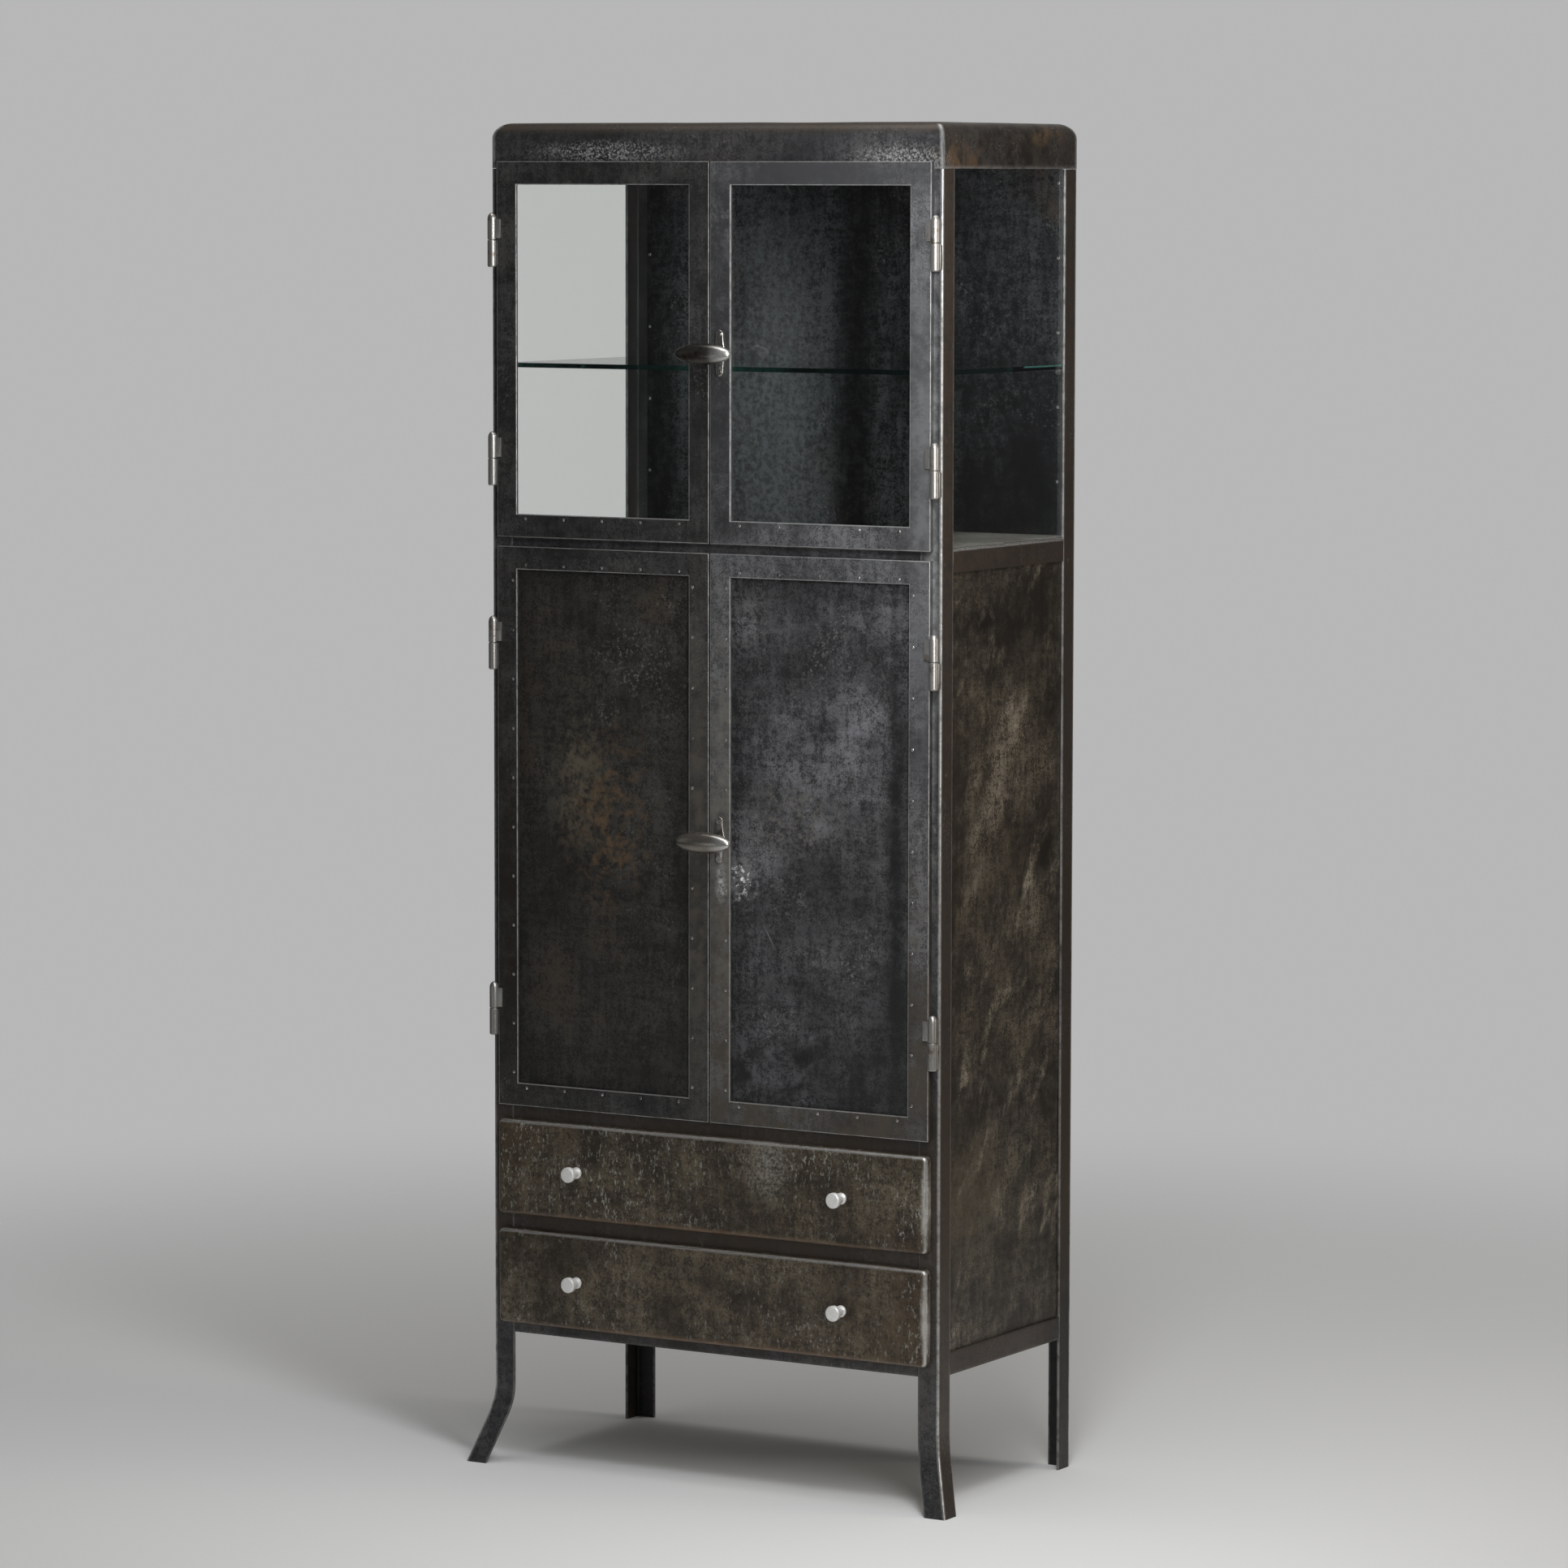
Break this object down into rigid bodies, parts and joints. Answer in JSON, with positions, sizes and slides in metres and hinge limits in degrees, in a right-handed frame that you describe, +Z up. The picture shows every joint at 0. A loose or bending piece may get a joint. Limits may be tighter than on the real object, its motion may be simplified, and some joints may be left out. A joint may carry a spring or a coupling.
{
  "type": "glass door medical cabinet",
  "caption": "Freestanding steel cabinet with glazed double doors over steel double doors and drawers, on angle-iron legs with swept front feet.",
  "frame": {"origin": "on the floor, at the middle of the box round the cabinet", "axes": "+Z up, front towards -Y, +X to the right seen from the front"},
  "size_m": [0.721, 0.412, 1.75],
  "materials": {
    "frame_steel": "bare steel, darkened and waxed, bright on rubbed edges",
    "panel_steel": "bare sheet steel, darkened, mottled and waxed",
    "drawer_steel": "bare sheet steel, brown-black with pale flecks, waxed",
    "inner_steel": "darkened sheet steel, plain",
    "clear_glass": "clear flat glass",
    "shelf_glass": "clear flat glass with green cut edges",
    "hinge_steel": "rubbed bright steel",
    "rosette_steel": "rubbed bright steel with a copper tint",
    "handle_bronze": "dark bronze patina, bright where it is handled",
    "knob_aluminium": "turned aluminium"
  },
  "bodies": {
    "carcass": {"post_front_left": "frame_steel", "post_front_right": "frame_steel", "post_rear_left": "frame_steel", "post_rear_right": "frame_steel", "top_pan": "frame_steel", "mid_rail": "frame_steel", "drawer_top_rail": "frame_steel", "drawer_mid_rail": "frame_steel", "bottom_rail": "frame_steel", "side_rail_mid_left": "frame_steel", "side_rail_mid_right": "frame_steel", "side_rail_bottom_left": "frame_steel", "side_rail_bottom_right": "frame_steel", "back_panel": "panel_steel", "side_panel_left": "panel_steel", "side_panel_right": "panel_steel", "side_glass_left": "clear_glass", "side_glass_right": "clear_glass", "upper_floor": "inner_steel", "lower_floor": "inner_steel", "drawer_runner_left": "inner_steel", "drawer_runner_right": "inner_steel", "glass_shelf": "shelf_glass", "steel_shelf": "inner_steel", "hinge_pin_upper_left_top": "hinge_steel", "hinge_pin_upper_left_bottom": "hinge_steel", "hinge_pin_upper_right_top": "hinge_steel", "hinge_pin_upper_right_bottom": "hinge_steel", "hinge_pin_lower_left_top": "hinge_steel", "hinge_pin_lower_left_bottom": "hinge_steel", "hinge_pin_lower_right_top": "hinge_steel", "hinge_pin_lower_right_bottom": "hinge_steel"},
    "upper_left_door": {"door_frame_upper_left": "frame_steel", "door_glass_left": "clear_glass", "hinge_socket_upper_left_top": "hinge_steel", "hinge_socket_upper_left_bottom": "hinge_steel"},
    "upper_right_door": {"door_frame_upper_right": "frame_steel", "door_glass_right": "clear_glass", "hinge_socket_upper_right_top": "hinge_steel", "hinge_socket_upper_right_bottom": "hinge_steel", "rosette_upper": "rosette_steel"},
    "upper_handle": {"olive_upper": "handle_bronze"},
    "upper_drawer": {"drawer_box_upper": "inner_steel", "drawer_front_upper": "drawer_steel", "knob_upper_left": "knob_aluminium", "knob_upper_right": "knob_aluminium"},
    "lower_left_door": {"door_frame_lower_left": "frame_steel", "door_panel_left": "panel_steel", "hinge_socket_lower_left_top": "hinge_steel", "hinge_socket_lower_left_bottom": "hinge_steel"},
    "lower_right_door": {"door_frame_lower_right": "frame_steel", "door_panel_right": "panel_steel", "hinge_socket_lower_right_top": "hinge_steel", "hinge_socket_lower_right_bottom": "hinge_steel", "rosette_lower": "rosette_steel"},
    "lower_handle": {"olive_lower": "handle_bronze"},
    "lower_drawer": {"drawer_box_lower": "inner_steel", "drawer_front_lower": "drawer_steel", "knob_lower_left": "knob_aluminium", "knob_lower_right": "knob_aluminium"}
  },
  "joints": [
    {"name": "upper_right_door_swing", "type": "hinge", "parent": "carcass", "child": "upper_right_door", "pos_m": [0.3285, -0.15295, 1.459], "axis": [0, 0, 1], "range_deg": [0, 180]},
    {"name": "upper_left_door_swing", "type": "hinge", "parent": "carcass", "child": "upper_left_door", "pos_m": [-0.3285, -0.15295, 1.459], "axis": [0, 0, -1], "range_deg": [0, 180]},
    {"name": "upper_handle_turn", "type": "hinge", "parent": "upper_right_door", "child": "upper_handle", "pos_m": [0.016, -0.14405, 1.459], "axis": [0, -1, 0], "range_deg": [0, 90]},
    {"name": "upper_drawer_slide", "type": "slide", "parent": "carcass", "child": "upper_drawer", "axis": [0, -1, 0], "range_m": [0, 0.25]},
    {"name": "lower_right_door_swing", "type": "hinge", "parent": "carcass", "child": "lower_right_door", "pos_m": [0.3285, -0.15295, 0.83975], "axis": [0, 0, 1], "range_deg": [0, 180]},
    {"name": "lower_left_door_swing", "type": "hinge", "parent": "carcass", "child": "lower_left_door", "pos_m": [-0.3285, -0.15295, 0.83975], "axis": [0, 0, -1], "range_deg": [0, 180]},
    {"name": "lower_handle_turn", "type": "hinge", "parent": "lower_right_door", "child": "lower_handle", "pos_m": [0.016, -0.14405, 0.83975], "axis": [0, -1, 0], "range_deg": [0, 90]},
    {"name": "lower_drawer_slide", "type": "slide", "parent": "carcass", "child": "lower_drawer", "axis": [0, -1, 0], "range_m": [0, 0.25]}
  ],
  "couplings": [
    {"joint": "upper_left_door_swing", "follows": "upper_right_door_swing", "ratio": 1},
    {"joint": "lower_left_door_swing", "follows": "lower_right_door_swing", "ratio": 1}
  ]
}
